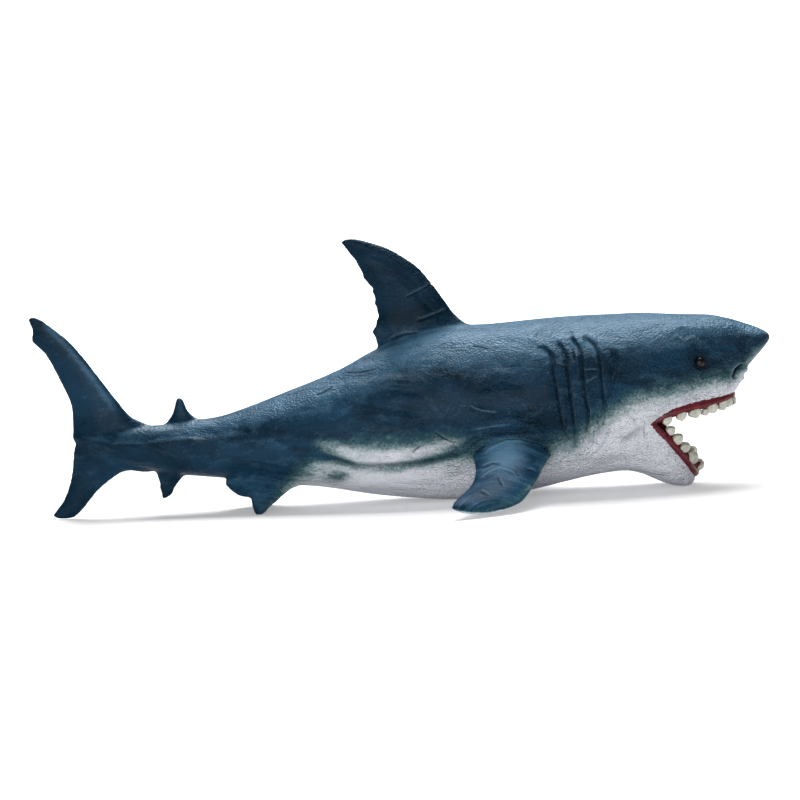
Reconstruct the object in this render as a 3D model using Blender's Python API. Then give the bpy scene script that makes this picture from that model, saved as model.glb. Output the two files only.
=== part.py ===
"""Shark figurine with an open mouth, moulded in one piece of soft vinyl.

The frame is in metres: +X runs to the nose, +Z is up, and the figure rests on z = 0 with
its belly, its chin and the tip of its tail. The origin is under the belly's resting flat.
Outlines and stations are shares of the named sizes, so each size can be changed by itself.
"""
import math

import bmesh
import bpy
import numpy as np
from mathutils import Vector
from mathutils.bvhtree import BVHTree

# Body
BODY_LENGTH = 0.271
BODY_HEIGHT = 0.068
BODY_HALF_WIDTH = 0.0275
FLAT_ALONG = 0.5555
TAIL_SWING = 0.008
SWING_START = 0.48

# Fins: length of the root along the body, then how far the fin reaches from it
DORSAL_ROOT = 0.036
DORSAL_HEIGHT = 0.0383
DORSAL_THICKNESS = 0.0085
SECOND_DORSAL_ROOT = 0.017
SECOND_DORSAL_HEIGHT = 0.0092
ANAL_ROOT = 0.014
ANAL_DEPTH = 0.0098
SMALL_FIN_THICKNESS = 0.0042
TAIL_ROOT = 0.029
TAIL_UPPER_REACH = 0.0500
TAIL_LOWER_REACH = 0.030
TAIL_THICKNESS = 0.0072
PECTORAL_ROOT = 0.036
PECTORAL_SPAN = 0.047
PECTORAL_DROP = 0.0224
PECTORAL_THICKNESS = 0.0125
PELVIC_ROOT = 0.030
PELVIC_SPAN = 0.011
PELVIC_DROP = 0.0122
PELVIC_THICKNESS = 0.0062
FIN_EDGE = 0.0014
DORSAL_SINK = 0.0015
SECOND_DORSAL_LIFT = 0.0006
ANAL_SINK = 0.0020

# Head
LIP_WALL = 0.0032
PALATE_HEIGHT = 0.0055
MOUTH_FLOOR_DEPTH = 0.0075
MOUTH_ROOF = 0.0045
GUM_HEIGHT = 0.0038
GUM_THICKNESS = 0.0030
GUM_INSET = 0.0004
GUM_ROOT = 0.0016
GUM_CORNER_SHARE = 0.30
UPPER_TOOTH_LENGTH = 0.0034
UPPER_TOOTH_WIDTH = 0.0048
LOWER_TOOTH_LENGTH = 0.0040
LOWER_TOOTH_WIDTH = 0.0037
TOOTH_THICKNESS = 0.0026
TOOTH_OVERLAP = 0.0009
TOOTH_INSET = 0.0010
TOOTH_TILT = 0.12
EYE_DIAMETER = 0.0042
EYE_STAND_OUT = 0.0011
SOCKET_RADIUS = 0.0030
SOCKET_DEPTH = 0.0008
GILL_HALF_WIDTH = 0.0008
GILL_DEPTH = 0.0011
GILL_LIP = 0.0004
GILL_LIP_AWAY = 0.0018
NOSTRIL_DEPTH = 0.0011
KEEL_HEIGHT = 0.0011
KEEL_HALF_WIDTH = 0.0014
KEEL_FADE = 0.033
FOLD_DEPTH = 0.0009
FOLD_HALF_WIDTH = 0.0026
FLANK_REACH = 1.12

# Making of the mesh
VOXEL = 0.0006
BLEND_ROUNDS = 8
BODY_TRIANGLES = 8600
RING_POINTS = 44
FIN_RING_POINTS = 20
MOUTH_RING_POINTS = 20
TOOTH_RING_POINTS = 8
LIP_POINTS = 24
STEPS_PER_ROW = 3
SHARP_ANGLE = math.radians(50)

# Roundness of the sections: 1.0 is an ellipse, less is fuller
SIDE_ROUNDNESS = 0.92
END_ROUNDNESS = 0.96
BOWL_ROUNDNESS = 0.8
FIN_FULLNESS = 1.25
JAW_WIDEST = 0.62
JAW_LIP_WIDTH = 0.97
PALATE_WALL = 1.1
BOWL_FRONT_DEPTH = 0.55
BOWL_FULL_WIDTH = 0.35

# Along the body from tail stem to throat: along, back, belly, half width, height of widest
TRUNK = [
    (0.000, 0.491, 0.362, 0.095, 0.50),
    (0.028, 0.497, 0.337, 0.160, 0.50),
    (0.057, 0.506, 0.303, 0.229, 0.50),
    (0.094, 0.515, 0.268, 0.276, 0.50),
    (0.127, 0.518, 0.235, 0.320, 0.50),
    (0.175, 0.538, 0.206, 0.385, 0.50),
    (0.208, 0.554, 0.191, 0.444, 0.50),
    (0.256, 0.611, 0.165, 0.553, 0.50),
    (0.304, 0.677, 0.132, 0.665, 0.49),
    (0.345, 0.731, 0.112, 0.753, 0.49),
    (0.386, 0.794, 0.078, 0.833, 0.49),
    (0.419, 0.862, 0.050, 0.887, 0.49),
    (0.463, 0.935, 0.024, 0.945, 0.49),
    (0.507, 0.979, 0.003, 0.982, 0.48),
    (0.555, 0.997, -0.009, 0.996, 0.47),
    (0.596, 0.994, -0.006, 1.000, 0.46),
    (0.637, 1.001, 0.018, 1.000, 0.46),
    (0.681, 1.009, 0.049, 0.993, 0.47),
    (0.725, 1.012, 0.081, 0.967, 0.48),
    (0.758, 1.010, 0.097, 0.931, 0.49),
    (0.788, 1.007, 0.100, 0.895, 0.50),
    (0.812, 1.007, 0.078, 0.862, 0.50),
]

# Upper head: along, crown, lip, half width, half width at the lip, height of widest
HEAD = [
    (0.718, 1.009, 0.320, 0.967, 0.564, 0.676),
    (0.777, 1.007, 0.334, 0.916, 0.636, 0.676),
    (0.803, 1.007, 0.348, 0.887, 0.672, 0.684),
    (0.820, 1.006, 0.376, 0.858, 0.688, 0.691),
    (0.833, 0.999, 0.423, 0.833, 0.680, 0.699),
    (0.851, 0.993, 0.457, 0.796, 0.658, 0.706),
    (0.871, 0.985, 0.491, 0.742, 0.611, 0.715),
    (0.893, 0.979, 0.511, 0.662, 0.538, 0.724),
    (0.918, 0.972, 0.513, 0.545, 0.415, 0.732),
    (0.934, 0.954, 0.514, 0.458, 0.291, 0.735),
    (0.943, 0.947, 0.518, 0.415, 0.167, 0.741),
    (0.949, 0.940, 0.530, 0.385, 0.095, 0.747),
    (0.955, 0.929, 0.570, 0.353, 0.058, 0.756),
    (0.963, 0.918, 0.634, 0.316, 0.044, 0.771),
    (0.974, 0.899, 0.690, 0.258, 0.036, 0.788),
    (0.987, 0.878, 0.743, 0.193, 0.029, 0.806),
    (0.996, 0.857, 0.781, 0.127, 0.018, 0.818),
    (1.002, 0.838, 0.811, 0.051, 0.007, 0.826),
]
UPPER_CORNER = 0.820
UPPER_FRONT = 0.944

# Lower jaw: along, lip, underside, half width
JAW = [
    (0.740, 0.327, 0.109, 0.618),
    (0.777, 0.353, 0.106, 0.669),
    (0.803, 0.384, 0.085, 0.694),
    (0.821, 0.389, 0.048, 0.700),
    (0.835, 0.319, 0.022, 0.662),
    (0.848, 0.264, 0.003, 0.611),
    (0.863, 0.178, -0.009, 0.505),
    (0.872, 0.114, -0.009, 0.385),
    (0.876, 0.081, 0.000, 0.269),
    (0.880, 0.057, 0.012, 0.160),
    (0.882, 0.045, 0.024, 0.058),
]
LOWER_CORNER = 0.822
LOWER_FRONT = 0.881

# The throat behind the corner of the mouth: along, middle, half width
THROAT = [
    (0.735, 0.320, 0.060),
    (0.755, 0.325, 0.260),
    (0.782, 0.340, 0.450),
    (0.806, 0.364, 0.540),
]

# Fin edges from root to tip: leading edge x and height, trailing edge x and height,
# thickness, as shares of root, reach and thickness
DORSAL = [
    (1.30, -0.20, 0.06, -0.35, 1.00),
    (1.07, 0.00, -0.03, -0.10, 1.00),
    (0.92, 0.10, -0.04, 0.03, 0.80),
    (0.81, 0.22, -0.01, 0.19, 0.62),
    (0.73, 0.36, -0.01, 0.33, 0.54),
    (0.62, 0.52, -0.06, 0.46, 0.48),
    (0.50, 0.67, -0.12, 0.59, 0.44),
    (0.36, 0.775, -0.17, 0.69, 0.40),
    (0.20, 0.875, -0.23, 0.78, 0.36),
    (0.02, 0.94, -0.28, 0.86, 0.33),
    (-0.17, 0.995, -0.325, 0.92, 0.28),
    (-0.29, 1.005, -0.36, 0.965, 0.20),
]
SECOND_DORSAL = [
    (1.06, -0.35, -0.06, -0.47, 1.00),
    (0.85, 0.09, 0.03, 0.00, 1.00),
    (0.66, 0.31, 0.16, 0.26, 0.75),
    (0.54, 0.66, 0.26, 0.59, 0.55),
    (0.44, 0.94, 0.29, 0.89, 0.40),
]
ANAL = [
    (1.07, 0.42, -0.07, 0.53, 1.00),
    (0.80, -0.07, -0.01, 0.04, 1.00),
    (0.54, -0.48, 0.08, -0.42, 0.75),
    (0.36, -0.86, 0.07, -0.80, 0.55),
    (0.20, -1.02, 0.09, -0.97, 0.40),
]
TAIL_UPPER = [
    (1.25, 0.01, 0.26, -0.16, 1.00),
    (1.03, 0.115, 0.02, -0.03, 0.95),
    (0.87, 0.155, -0.02, 0.10, 0.80),
    (0.75, 0.215, -0.01, 0.21, 0.68),
    (0.63, 0.315, -0.03, 0.31, 0.58),
    (0.45, 0.465, -0.12, 0.44, 0.50),
    (0.25, 0.635, -0.24, 0.60, 0.45),
    (0.05, 0.785, -0.355, 0.72, 0.41),
    (-0.10, 0.865, -0.51, 0.80, 0.38),
    (-0.24, 0.94, -0.475, 0.88, 0.35),
    (-0.36, 0.99, -0.505, 0.94, 0.30),
    (-0.47, 1.015, -0.54, 0.98, 0.24),
]
TAIL_LOWER = [
    (1.22, -0.15, 0.26, 0.13, 1.00),
    (1.04, -0.45, 0.01, -0.02, 0.95),
    (0.78, -0.41, -0.03, -0.15, 0.80),
    (0.63, -0.43, -0.05, -0.28, 0.68),
    (0.47, -0.525, -0.07, -0.41, 0.58),
    (0.27, -0.675, -0.12, -0.58, 0.50),
    (0.08, -0.89, -0.21, -0.77, 0.44),
    (-0.08, -1.01, -0.33, -0.90, 0.38),
    (-0.19, -1.03, -0.39, -0.96, 0.30),
]

# Paired fins from root to tip: leading edge x, outward, down, trailing edge x, outward, down
# and thickness, as shares of root, span, drop and thickness
PECTORAL = [
    (1.04, -0.16, -0.14, -0.04, -0.16, -0.14, 1.00),
    (1.04, -0.02, 0.05, -0.01, -0.02, 0.10, 1.00),
    (0.97, 0.11, 0.25, 0.09, 0.11, 0.22, 0.86),
    (0.885, 0.23, 0.42, 0.11, 0.22, 0.32, 0.70),
    (0.825, 0.36, 0.56, 0.11, 0.38, 0.45, 0.58),
    (0.735, 0.53, 0.73, 0.07, 0.55, 0.58, 0.48),
    (0.66, 0.66, 0.87, 0.01, 0.68, 0.65, 0.41),
    (0.56, 0.77, 0.96, -0.05, 0.79, 0.70, 0.36),
    (0.41, 0.86, 1.01, -0.10, 0.88, 0.74, 0.32),
    (0.25, 0.93, 1.03, -0.14, 0.94, 0.78, 0.28),
    (0.10, 0.975, 1.02, -0.16, 0.985, 0.83, 0.24),
    (-0.06, 1.00, 0.97, -0.18, 1.00, 0.88, 0.18),
]
PELVIC = [
    (1.04, -0.60, -0.42, -0.02, -0.60, -0.42, 1.00),
    (1.00, -0.05, 0.08, -0.05, -0.05, -0.05, 1.00),
    (0.86, 0.18, 0.21, -0.05, 0.12, 0.02, 0.80),
    (0.73, 0.44, 0.42, 0.06, 0.36, 0.27, 0.60),
    (0.60, 0.72, 0.68, 0.25, 0.62, 0.53, 0.46),
    (0.46, 0.95, 0.90, 0.33, 0.88, 0.80, 0.34),
]

# Where the fins sit along the body
DORSAL_ALONG = 0.437
SECOND_DORSAL_ALONG = 0.120
ANAL_ALONG = 0.105
TAIL_ALONG = -0.011
TAIL_MIDDLE = 0.441
PECTORAL_ALONG = 0.5495
PECTORAL_OUT = 0.87
PECTORAL_UP = 0.356
PELVIC_ALONG = 0.208
PELVIC_OUT = 0.62
PELVIC_UP = 0.168

# Across the gum from lip to mouth: share of its thickness, share of its height
GUM_SECTION = [(0.0, 0.72), (0.16, 0.94), (0.5, 1.0), (0.84, 0.94), (1.0, 0.72)]

# A tooth from root to tip: share of its length, share of its width
TOOTH_OUTLINE = [(-0.55, 0.30), (0.0, 0.70), (0.30, 1.0), (0.62, 0.88), (0.88, 0.54), (1.0, 0.22)]

# The teeth along each gum from the right corner round the front: share of the gum, size
UPPER_TEETH = [(0.088, 0.90), (0.155, 0.95), (0.228, 1.10), (0.290, 0.76), (0.330, 1.04),
               (0.388, 0.94), (0.440, 0.88), (0.497, 0.82), (0.553, 0.92), (0.607, 0.98),
               (0.665, 1.02), (0.716, 0.80), (0.775, 1.08), (0.845, 0.95), (0.912, 0.90)]
LOWER_TEETH = [(0.110, 0.95), (0.180, 1.08), (0.248, 1.04), (0.343, 1.14), (0.415, 0.96),
               (0.470, 0.90), (0.530, 0.92), (0.590, 0.90), (0.655, 1.00)]

# Lines on the side of the head and body: along, height
GILLS = [
    [(0.675, 0.863), (0.684, 0.821), (0.687, 0.761), (0.687, 0.667), (0.691, 0.577),
     (0.697, 0.461), (0.700, 0.380), (0.703, 0.335)],
    [(0.697, 0.876), (0.704, 0.824), (0.706, 0.770), (0.707, 0.683), (0.710, 0.585),
     (0.714, 0.486), (0.714, 0.392), (0.714, 0.301)],
    [(0.718, 0.893), (0.726, 0.838), (0.727, 0.749), (0.729, 0.639), (0.733, 0.526),
     (0.731, 0.432), (0.729, 0.355), (0.735, 0.298)],
    [(0.735, 0.905), (0.747, 0.866), (0.754, 0.796), (0.757, 0.710), (0.758, 0.607),
     (0.756, 0.515), (0.750, 0.407), (0.745, 0.327)],
    [(0.774, 0.826), (0.777, 0.763), (0.772, 0.691), (0.764, 0.587)],
]
KEEL = [(-0.010, 0.469), (0.015, 0.445), (0.047, 0.414), (0.094, 0.404), (0.135, 0.427),
        (0.177, 0.426), (0.237, 0.440), (0.287, 0.436)]
NOSTRIL = [(0.9425, 0.627), (0.946, 0.655), (0.953, 0.683), (0.958, 0.695)]
JAW_FOLD = [(0.785, 0.294), (0.800, 0.346), (0.815, 0.374)]
BELLY_FOLD = [(0.335, 0.300), (0.362, 0.245), (0.395, 0.205), (0.440, 0.212), (0.485, 0.242),
              (0.520, 0.295)]
EYE_ALONG = 0.899
EYE_HEIGHT = 0.728

# Paint fields: height of the edge of the pale underside along the body
BELLY_EDGE = [(0.280, 0.13), (0.303, 0.21), (0.353, 0.38), (0.454, 0.46), (0.512, 0.45),
              (0.556, 0.38), (0.685, 0.31), (0.730, 0.34), (0.750, 0.44), (0.830, 0.53),
              (0.909, 0.59), (0.953, 0.77), (0.975, 0.80)]
FIN_STARTS = 0.96
UNDERSIDE_NORMAL = -0.3
PAINT = [
    ("shark_skin", (0.026, 0.075, 0.118, 1.0), 0.38),
    ("shark_belly", (0.74, 0.76, 0.78, 1.0), 0.42),
    ("shark_gum", (0.20, 0.018, 0.025, 1.0), 0.30),
    ("shark_tooth", (0.72, 0.70, 0.58, 1.0), 0.34),
    ("shark_eye", (0.008, 0.006, 0.006, 1.0), 0.08),
]
SKIN, BELLY, GUM, TOOTH, EYE = range(len(PAINT))


def x_at(along):
    return (along - FLAT_ALONG) * BODY_LENGTH


def smooth_rows(rows, steps=STEPS_PER_ROW):
    """Rows of numbers with a smooth curve through them, as a list of finer rows."""
    points = [np.array(row, dtype=float) for row in rows]
    points = [2 * points[0] - points[1]] + points + [2 * points[-1] - points[-2]]
    fine = []
    for before, start, end, after in zip(points, points[1:], points[2:], points[3:]):
        for step in range(steps):
            t = step / steps
            fine.append(0.5 * (2 * start + (end - before) * t
                               + (2 * before - 5 * start + 4 * end - after) * t ** 2
                               + (3 * start - before - 3 * end + after) * t ** 3))
    return fine + [points[-2]]


def station(rows, along):
    """One row of a station table, read at a place between its rows."""
    table = np.array(rows)
    return [np.interp(along, table[:, 0], table[:, column]) for column in range(1, table.shape[1])]


def new_object(name, mesh):
    thing = bpy.data.objects.new(name, mesh)
    bpy.context.collection.objects.link(thing)
    return thing


def loft(name, rings):
    """A closed solid through rings of points, each ring joined to the next."""
    bm = bmesh.new()
    loops = [[bm.verts.new(point) for point in ring] for ring in rings]
    for ring, following in zip(loops, loops[1:]):
        for index in range(len(ring)):
            beside = (index + 1) % len(ring)
            bm.faces.new((ring[index], ring[beside], following[beside], following[index]))
    bm.faces.new(list(reversed(loops[0])))
    bm.faces.new(loops[-1])
    bmesh.ops.recalc_face_normals(bm, faces=bm.faces)
    mesh = bpy.data.meshes.new(name)
    bm.to_mesh(mesh)
    bm.free()
    return new_object(name, mesh)


def body_ring(x, round_end, widest, flat_end, half_width, half_flat=0.0):
    """A section across the body: round at one end, and as wide as half_flat at the other."""
    ring = []
    for index in range(RING_POINTS):
        angle = 2 * math.pi * (index + 0.5) / RING_POINTS
        across, up = math.cos(angle), math.sin(angle)
        side = abs(across) ** SIDE_ROUNDNESS
        end = round_end if up >= 0 else flat_end
        width = half_width * side
        if up < 0 and half_flat > 0:
            width = half_flat + (half_width - half_flat) * side
            width *= min(1.0, 2 * side * half_width / half_flat)
        height = widest + (end - widest) * abs(up) ** END_ROUNDNESS
        ring.append(Vector((x, math.copysign(width, across), height)))
    return ring


def make_trunk():
    rings = []
    for along, back, belly, half, widest in smooth_rows(TRUNK):
        low, high = belly * BODY_HEIGHT, back * BODY_HEIGHT
        rings.append(body_ring(x_at(along), high, low + widest * (high - low), low,
                               half * BODY_HALF_WIDTH))
    return loft("trunk", rings)


def make_head():
    rings = []
    for along, crown, lip, half, half_lip, widest in smooth_rows(HEAD):
        rings.append(body_ring(x_at(along), crown * BODY_HEIGHT, widest * BODY_HEIGHT,
                               lip * BODY_HEIGHT, half * BODY_HALF_WIDTH,
                               half_lip * BODY_HALF_WIDTH))
    return loft("head", rings)


def make_jaw():
    rings = []
    for along, lip, under, half in smooth_rows(JAW):
        high, low = lip * BODY_HEIGHT, under * BODY_HEIGHT
        width = half * BODY_HALF_WIDTH
        rings.append(body_ring(x_at(along), low, low + JAW_WIDEST * (high - low), high, width,
                               width * JAW_LIP_WIDTH))
    return loft("jaw", rings)


def lip_curve(rows, corner, front, lip_column, width_column):
    """The lip from one corner of the mouth round the front to the other, as points."""
    near = []
    for index in range(LIP_POINTS):
        along = corner + (front - corner) * math.sin(math.pi / 2 * index / (LIP_POINTS - 1))
        values = station(rows, along)
        width = values[width_column] * BODY_HALF_WIDTH
        if index == LIP_POINTS - 1:
            width = 0.0
        near.append(Vector((x_at(along), -width, values[lip_column] * BODY_HEIGHT)))
    far = [Vector((point.x, -point.y, point.z)) for point in reversed(near[:-1])]
    return near + far


def upper_lip():
    return lip_curve(HEAD, UPPER_CORNER, UPPER_FRONT, 1, 3)


def lower_lip():
    return lip_curve(JAW, LOWER_CORNER, LOWER_FRONT, 0, 2)


def bite_direction(lip):
    """The way that teeth point: square to the plane of the lip, into the open mouth."""
    corner = (lip[0] + lip[-1]) / 2
    front = lip[len(lip) // 2]
    forward = (front - corner).normalized()
    square = Vector((-forward.z, 0.0, forward.x))
    opening = Vector((1.0, 0.0, -0.2))
    return square if square.dot(opening) > 0 else -square


def make_mouth_cutters():
    """Two bowls: the palate inside the upper lip and the floor inside the lower lip."""
    cutters = []
    plans = [("palate", upper_lip(), PALATE_HEIGHT, LIP_WALL * PALATE_WALL),
             ("floor", lower_lip(), MOUTH_FLOOR_DEPTH, LIP_WALL)]
    for name, lip, depth, wall in plans:
        bite = bite_direction(lip)
        half_count = len(lip) // 2
        rings = []
        for along, middle, half in smooth_rows(THROAT, 2):
            centre = Vector((x_at(along), 0.0, middle * BODY_HEIGHT))
            rings.append(bowl_ring(centre, half * BODY_HALF_WIDTH, bite,
                                   depth * half / THROAT[-1][2]))
        for index in range(1, half_count):
            width = -lip[index].y - wall
            if width < wall:
                break
            centre = Vector((lip[index].x, 0.0, lip[index].z))
            share = min(1.0, width / (BOWL_FULL_WIDTH * BODY_HALF_WIDTH))
            share = BOWL_FRONT_DEPTH + (1 - BOWL_FRONT_DEPTH) * share
            rings.append(bowl_ring(centre, width, bite, depth * share))
        cutters.append(loft(name, rings))
    return cutters


def bowl_ring(centre, half_width, bite, depth):
    """A section of a mouth cutter: a bowl below the lip line and a low roof beyond it."""
    ring = []
    for index in range(MOUTH_RING_POINTS):
        angle = 2 * math.pi * (index + 0.5) / MOUTH_RING_POINTS
        rise = math.sin(angle)
        reach = MOUTH_ROOF * rise if rise > 0 else -depth * abs(rise) ** BOWL_ROUNDNESS
        ring.append(centre + Vector((0, half_width * math.cos(angle), 0)) + bite * reach)
    return ring


def make_gums():
    """A band of gum below each lip, lower towards the corners, in which the teeth stand."""
    bands = []
    for name, lip in (("upper_gum", upper_lip()), ("lower_gum", lower_lip())):
        bite = bite_direction(lip)
        outer = inset_lip(lip, GUM_INSET)
        inner = inset_lip(lip, GUM_INSET + GUM_THICKNESS)
        rings = []
        for index, (outside, inside) in enumerate(zip(outer, inner)):
            height = GUM_HEIGHT * gum_share(index, len(outer))
            across = inside - outside
            profile = [(share, height * rise) for share, rise in GUM_SECTION]
            profile = [(0.0, -GUM_ROOT)] + profile + [(1.0, -GUM_ROOT)]
            rings.append([outside + across * share + bite * rise for share, rise in profile])
        bands.append(loft(name, rings))
    return bands


def gum_share(index, count):
    """How much of its full height the gum has at a point of the lip."""
    from_corner = min(index, count - 1 - index) / (count // 2)
    return GUM_CORNER_SHARE + (1 - GUM_CORNER_SHARE) * min(1.0, 2 * from_corner)


def inset_lip(lip, distance):
    """The lip moved in towards the middle of the mouth."""
    moved = []
    last = len(lip) - 1
    bite = bite_direction(lip)
    for index, point in enumerate(lip):
        along = (lip[min(index + 1, last)] - lip[max(index - 1, 0)]).normalized()
        inward = bite.cross(along).normalized()
        centre = (lip[0] + lip[-1]) / 2
        if inward.dot(centre - point) < 0:
            inward = -inward
        moved.append(point + inward * distance)
    return moved


def make_fin(name, lead, trail, thickness):
    """A fin between its leading and trailing edges, rounded at both and thickest midway."""
    rings = []
    last = len(lead) - 1
    half_points = FIN_RING_POINTS // 2
    for index in range(last + 1):
        before, after = max(index - 1, 0), min(index + 1, last)
        chord = trail[index] - lead[index]
        span = (lead[after] + trail[after] - lead[before] - trail[before]) / 2
        square = chord.cross(span).normalized()
        ring = []
        for step in range(FIN_RING_POINTS):
            turn = math.pi * step / half_points
            share = (1 - math.cos(turn)) / 2
            swell = abs(math.sin(turn))
            bulge = max(thickness[index] * swell ** FIN_FULLNESS, FIN_EDGE * swell ** 0.5)
            side = 1 if step <= half_points else -1
            ring.append(lead[index] + chord * share + square * side * bulge / 2)
        rings.append(ring)
    return loft(name, rings)


def make_middle_fin(name, rows, x, z, root, reach, thickness):
    """A fin that stands in the middle plane."""
    fine = smooth_rows(rows, 2)
    lead = [Vector((x + row[0] * root, 0.0, z + row[1] * reach)) for row in fine]
    trail = [Vector((x + row[2] * root, 0.0, z + row[3] * reach)) for row in fine]
    return make_fin(name, lead, trail, [row[4] * thickness for row in fine])


def make_paired_fins(name, rows, seat, root, span, drop, thickness):
    """The same fin on both flanks."""
    pair = []
    fine = smooth_rows(rows, 2)
    for side in (-1, 1):
        lead = [seat_point(seat, side, row[0] * root, row[1] * span, row[2] * drop)
                for row in fine]
        trail = [seat_point(seat, side, row[3] * root, row[4] * span, row[5] * drop)
                 for row in fine]
        pair.append(make_fin(name, lead, trail, [row[6] * thickness for row in fine]))
    return pair


def seat_point(seat, side, forward, outward, down):
    return Vector((seat.x + forward, side * (seat.y + outward), seat.z - down))


def make_fins():
    fins = []
    dorsal_x, second_x, anal_x = x_at(DORSAL_ALONG), x_at(SECOND_DORSAL_ALONG), x_at(ANAL_ALONG)
    back = station(TRUNK, DORSAL_ALONG + DORSAL_ROOT / BODY_LENGTH)[0] * BODY_HEIGHT
    fins.append(make_middle_fin("dorsal", DORSAL, dorsal_x, back - DORSAL_SINK, DORSAL_ROOT,
                                DORSAL_HEIGHT, DORSAL_THICKNESS))
    back = station(TRUNK, SECOND_DORSAL_ALONG)[0] * BODY_HEIGHT
    fins.append(make_middle_fin("second_dorsal", SECOND_DORSAL, second_x, back + SECOND_DORSAL_LIFT,
                                SECOND_DORSAL_ROOT, SECOND_DORSAL_HEIGHT,
                                SMALL_FIN_THICKNESS))
    belly = station(TRUNK, ANAL_ALONG)[1] * BODY_HEIGHT
    fins.append(make_middle_fin("anal", ANAL, anal_x, belly - ANAL_SINK, ANAL_ROOT, ANAL_DEPTH,
                                SMALL_FIN_THICKNESS))
    tail_x, tail_z = x_at(TAIL_ALONG), TAIL_MIDDLE * BODY_HEIGHT
    fins.append(make_middle_fin("tail_upper", TAIL_UPPER, tail_x, tail_z, TAIL_ROOT,
                                TAIL_UPPER_REACH, TAIL_THICKNESS))
    fins.append(make_middle_fin("tail_lower", TAIL_LOWER, tail_x, tail_z, TAIL_ROOT,
                                TAIL_LOWER_REACH, TAIL_THICKNESS))
    seat = Vector((x_at(PECTORAL_ALONG), PECTORAL_OUT * BODY_HALF_WIDTH, PECTORAL_UP * BODY_HEIGHT))
    fins += make_paired_fins("pectoral", PECTORAL, seat, PECTORAL_ROOT, PECTORAL_SPAN,
                             PECTORAL_DROP, PECTORAL_THICKNESS)
    half = station(TRUNK, PELVIC_ALONG)[2] * BODY_HALF_WIDTH
    seat = Vector((x_at(PELVIC_ALONG), PELVIC_OUT * half, PELVIC_UP * BODY_HEIGHT))
    fins += make_paired_fins("pelvic", PELVIC, seat, PELVIC_ROOT, PELVIC_SPAN, PELVIC_DROP,
                             PELVIC_THICKNESS)
    return fins


def apply_modifier(thing, kind, **settings):
    """Adds a modifier with its settings and keeps its result."""
    modifier = thing.modifiers.new(kind.lower(), kind)
    for key, value in settings.items():
        setattr(modifier, key, value)
    depsgraph = bpy.context.evaluated_depsgraph_get()
    result = bpy.data.meshes.new_from_object(thing.evaluated_get(depsgraph))
    thing.modifiers.clear()
    old = thing.data
    thing.data = result
    bpy.data.meshes.remove(old)


def boolean(thing, tool, operation):
    apply_modifier(thing, "BOOLEAN", operation=operation, object=tool, solver="EXACT")


def join(things, name):
    """One mesh from several closed shells that may run into each other."""
    bm = bmesh.new()
    for thing in things:
        bm.from_mesh(thing.data)
        bpy.data.objects.remove(thing)
    mesh = bpy.data.meshes.new(name)
    bm.to_mesh(mesh)
    bm.free()
    return new_object(name, mesh)


def distance_to_line(x, z, line):
    """How far each point of the side view lies from a line, and on which side."""
    points = np.array(line)
    points = np.column_stack(((points[:, 0] - FLAT_ALONG) * BODY_LENGTH,
                              points[:, 1] * BODY_HEIGHT))
    nearest = np.full(len(x), 1.0)
    side = np.zeros(len(x))
    for start, end in zip(points, points[1:]):
        run = end - start
        share = ((x - start[0]) * run[0] + (z - start[1]) * run[1]) / run.dot(run)
        share = np.clip(share, 0.0, 1.0)
        gap_x = x - start[0] - share * run[0]
        gap_z = z - start[1] - share * run[1]
        gap = np.hypot(gap_x, gap_z)
        closer = gap < nearest
        nearest[closer] = gap[closer]
        side[closer] = np.sign(gap_x * run[1] - gap_z * run[0])[closer]
    return nearest, side


def carve_skin(thing):
    """Gill slits, nostrils, keel, folds and eye sockets, pressed into the blended skin."""
    mesh = thing.data
    count = len(mesh.vertices)
    place = np.zeros(count * 3)
    mesh.vertices.foreach_get("co", place)
    place = place.reshape(count, 3)
    normal = np.zeros(count * 3)
    mesh.vertices.foreach_get("normal", normal)
    normal = normal.reshape(count, 3)
    x, z = place[:, 0], place[:, 2]
    flank = np.clip((np.abs(normal[:, 1]) - 0.15) / 0.3, 0.0, 1.0)
    flank[np.abs(place[:, 1]) > FLANK_REACH * BODY_HALF_WIDTH] = 0.0
    inside_mouth = normal[:, 1] * place[:, 1] < 0
    flank[inside_mouth] = 0.0
    shift = np.zeros(count)
    for line in GILLS:
        gap, side = distance_to_line(x, z, line)
        shift -= GILL_DEPTH * np.exp(-(gap / GILL_HALF_WIDTH) ** 2)
        behind = np.exp(-((gap - GILL_LIP_AWAY) / GILL_HALF_WIDTH) ** 2) * (side < 0)
        shift += GILL_LIP * behind
    gap, side = distance_to_line(x, z, NOSTRIL)
    shift -= NOSTRIL_DEPTH * np.exp(-(gap / GILL_HALF_WIDTH) ** 2)
    gap, side = distance_to_line(x, z, KEEL)
    fade = np.clip((x_at(KEEL[-1][0]) - x) / KEEL_FADE, 0.0, 1.0)
    shift += KEEL_HEIGHT * np.exp(-(gap / KEEL_HALF_WIDTH) ** 2) * fade
    for line in (JAW_FOLD, BELLY_FOLD):
        gap, side = distance_to_line(x, z, line)
        shift -= FOLD_DEPTH * np.exp(-(gap / FOLD_HALF_WIDTH) ** 2)
    gap = np.hypot(x - x_at(EYE_ALONG), z - EYE_HEIGHT * BODY_HEIGHT)
    shift -= SOCKET_DEPTH * np.exp(-(gap / SOCKET_RADIUS) ** 4)
    place += normal * (shift * flank)[:, None]
    mesh.vertices.foreach_set("co", place.ravel())
    mesh.update()


def swing_at(x):
    """How far the body bends aside at a place along it."""
    reach = max(0.0, (x_at(SWING_START) - x) / (SWING_START * BODY_LENGTH))
    return TAIL_SWING * reach ** 2


def bend_tail(thing):
    for vertex in thing.data.vertices:
        vertex.co.y += swing_at(vertex.co.x)
    thing.data.update()


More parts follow.
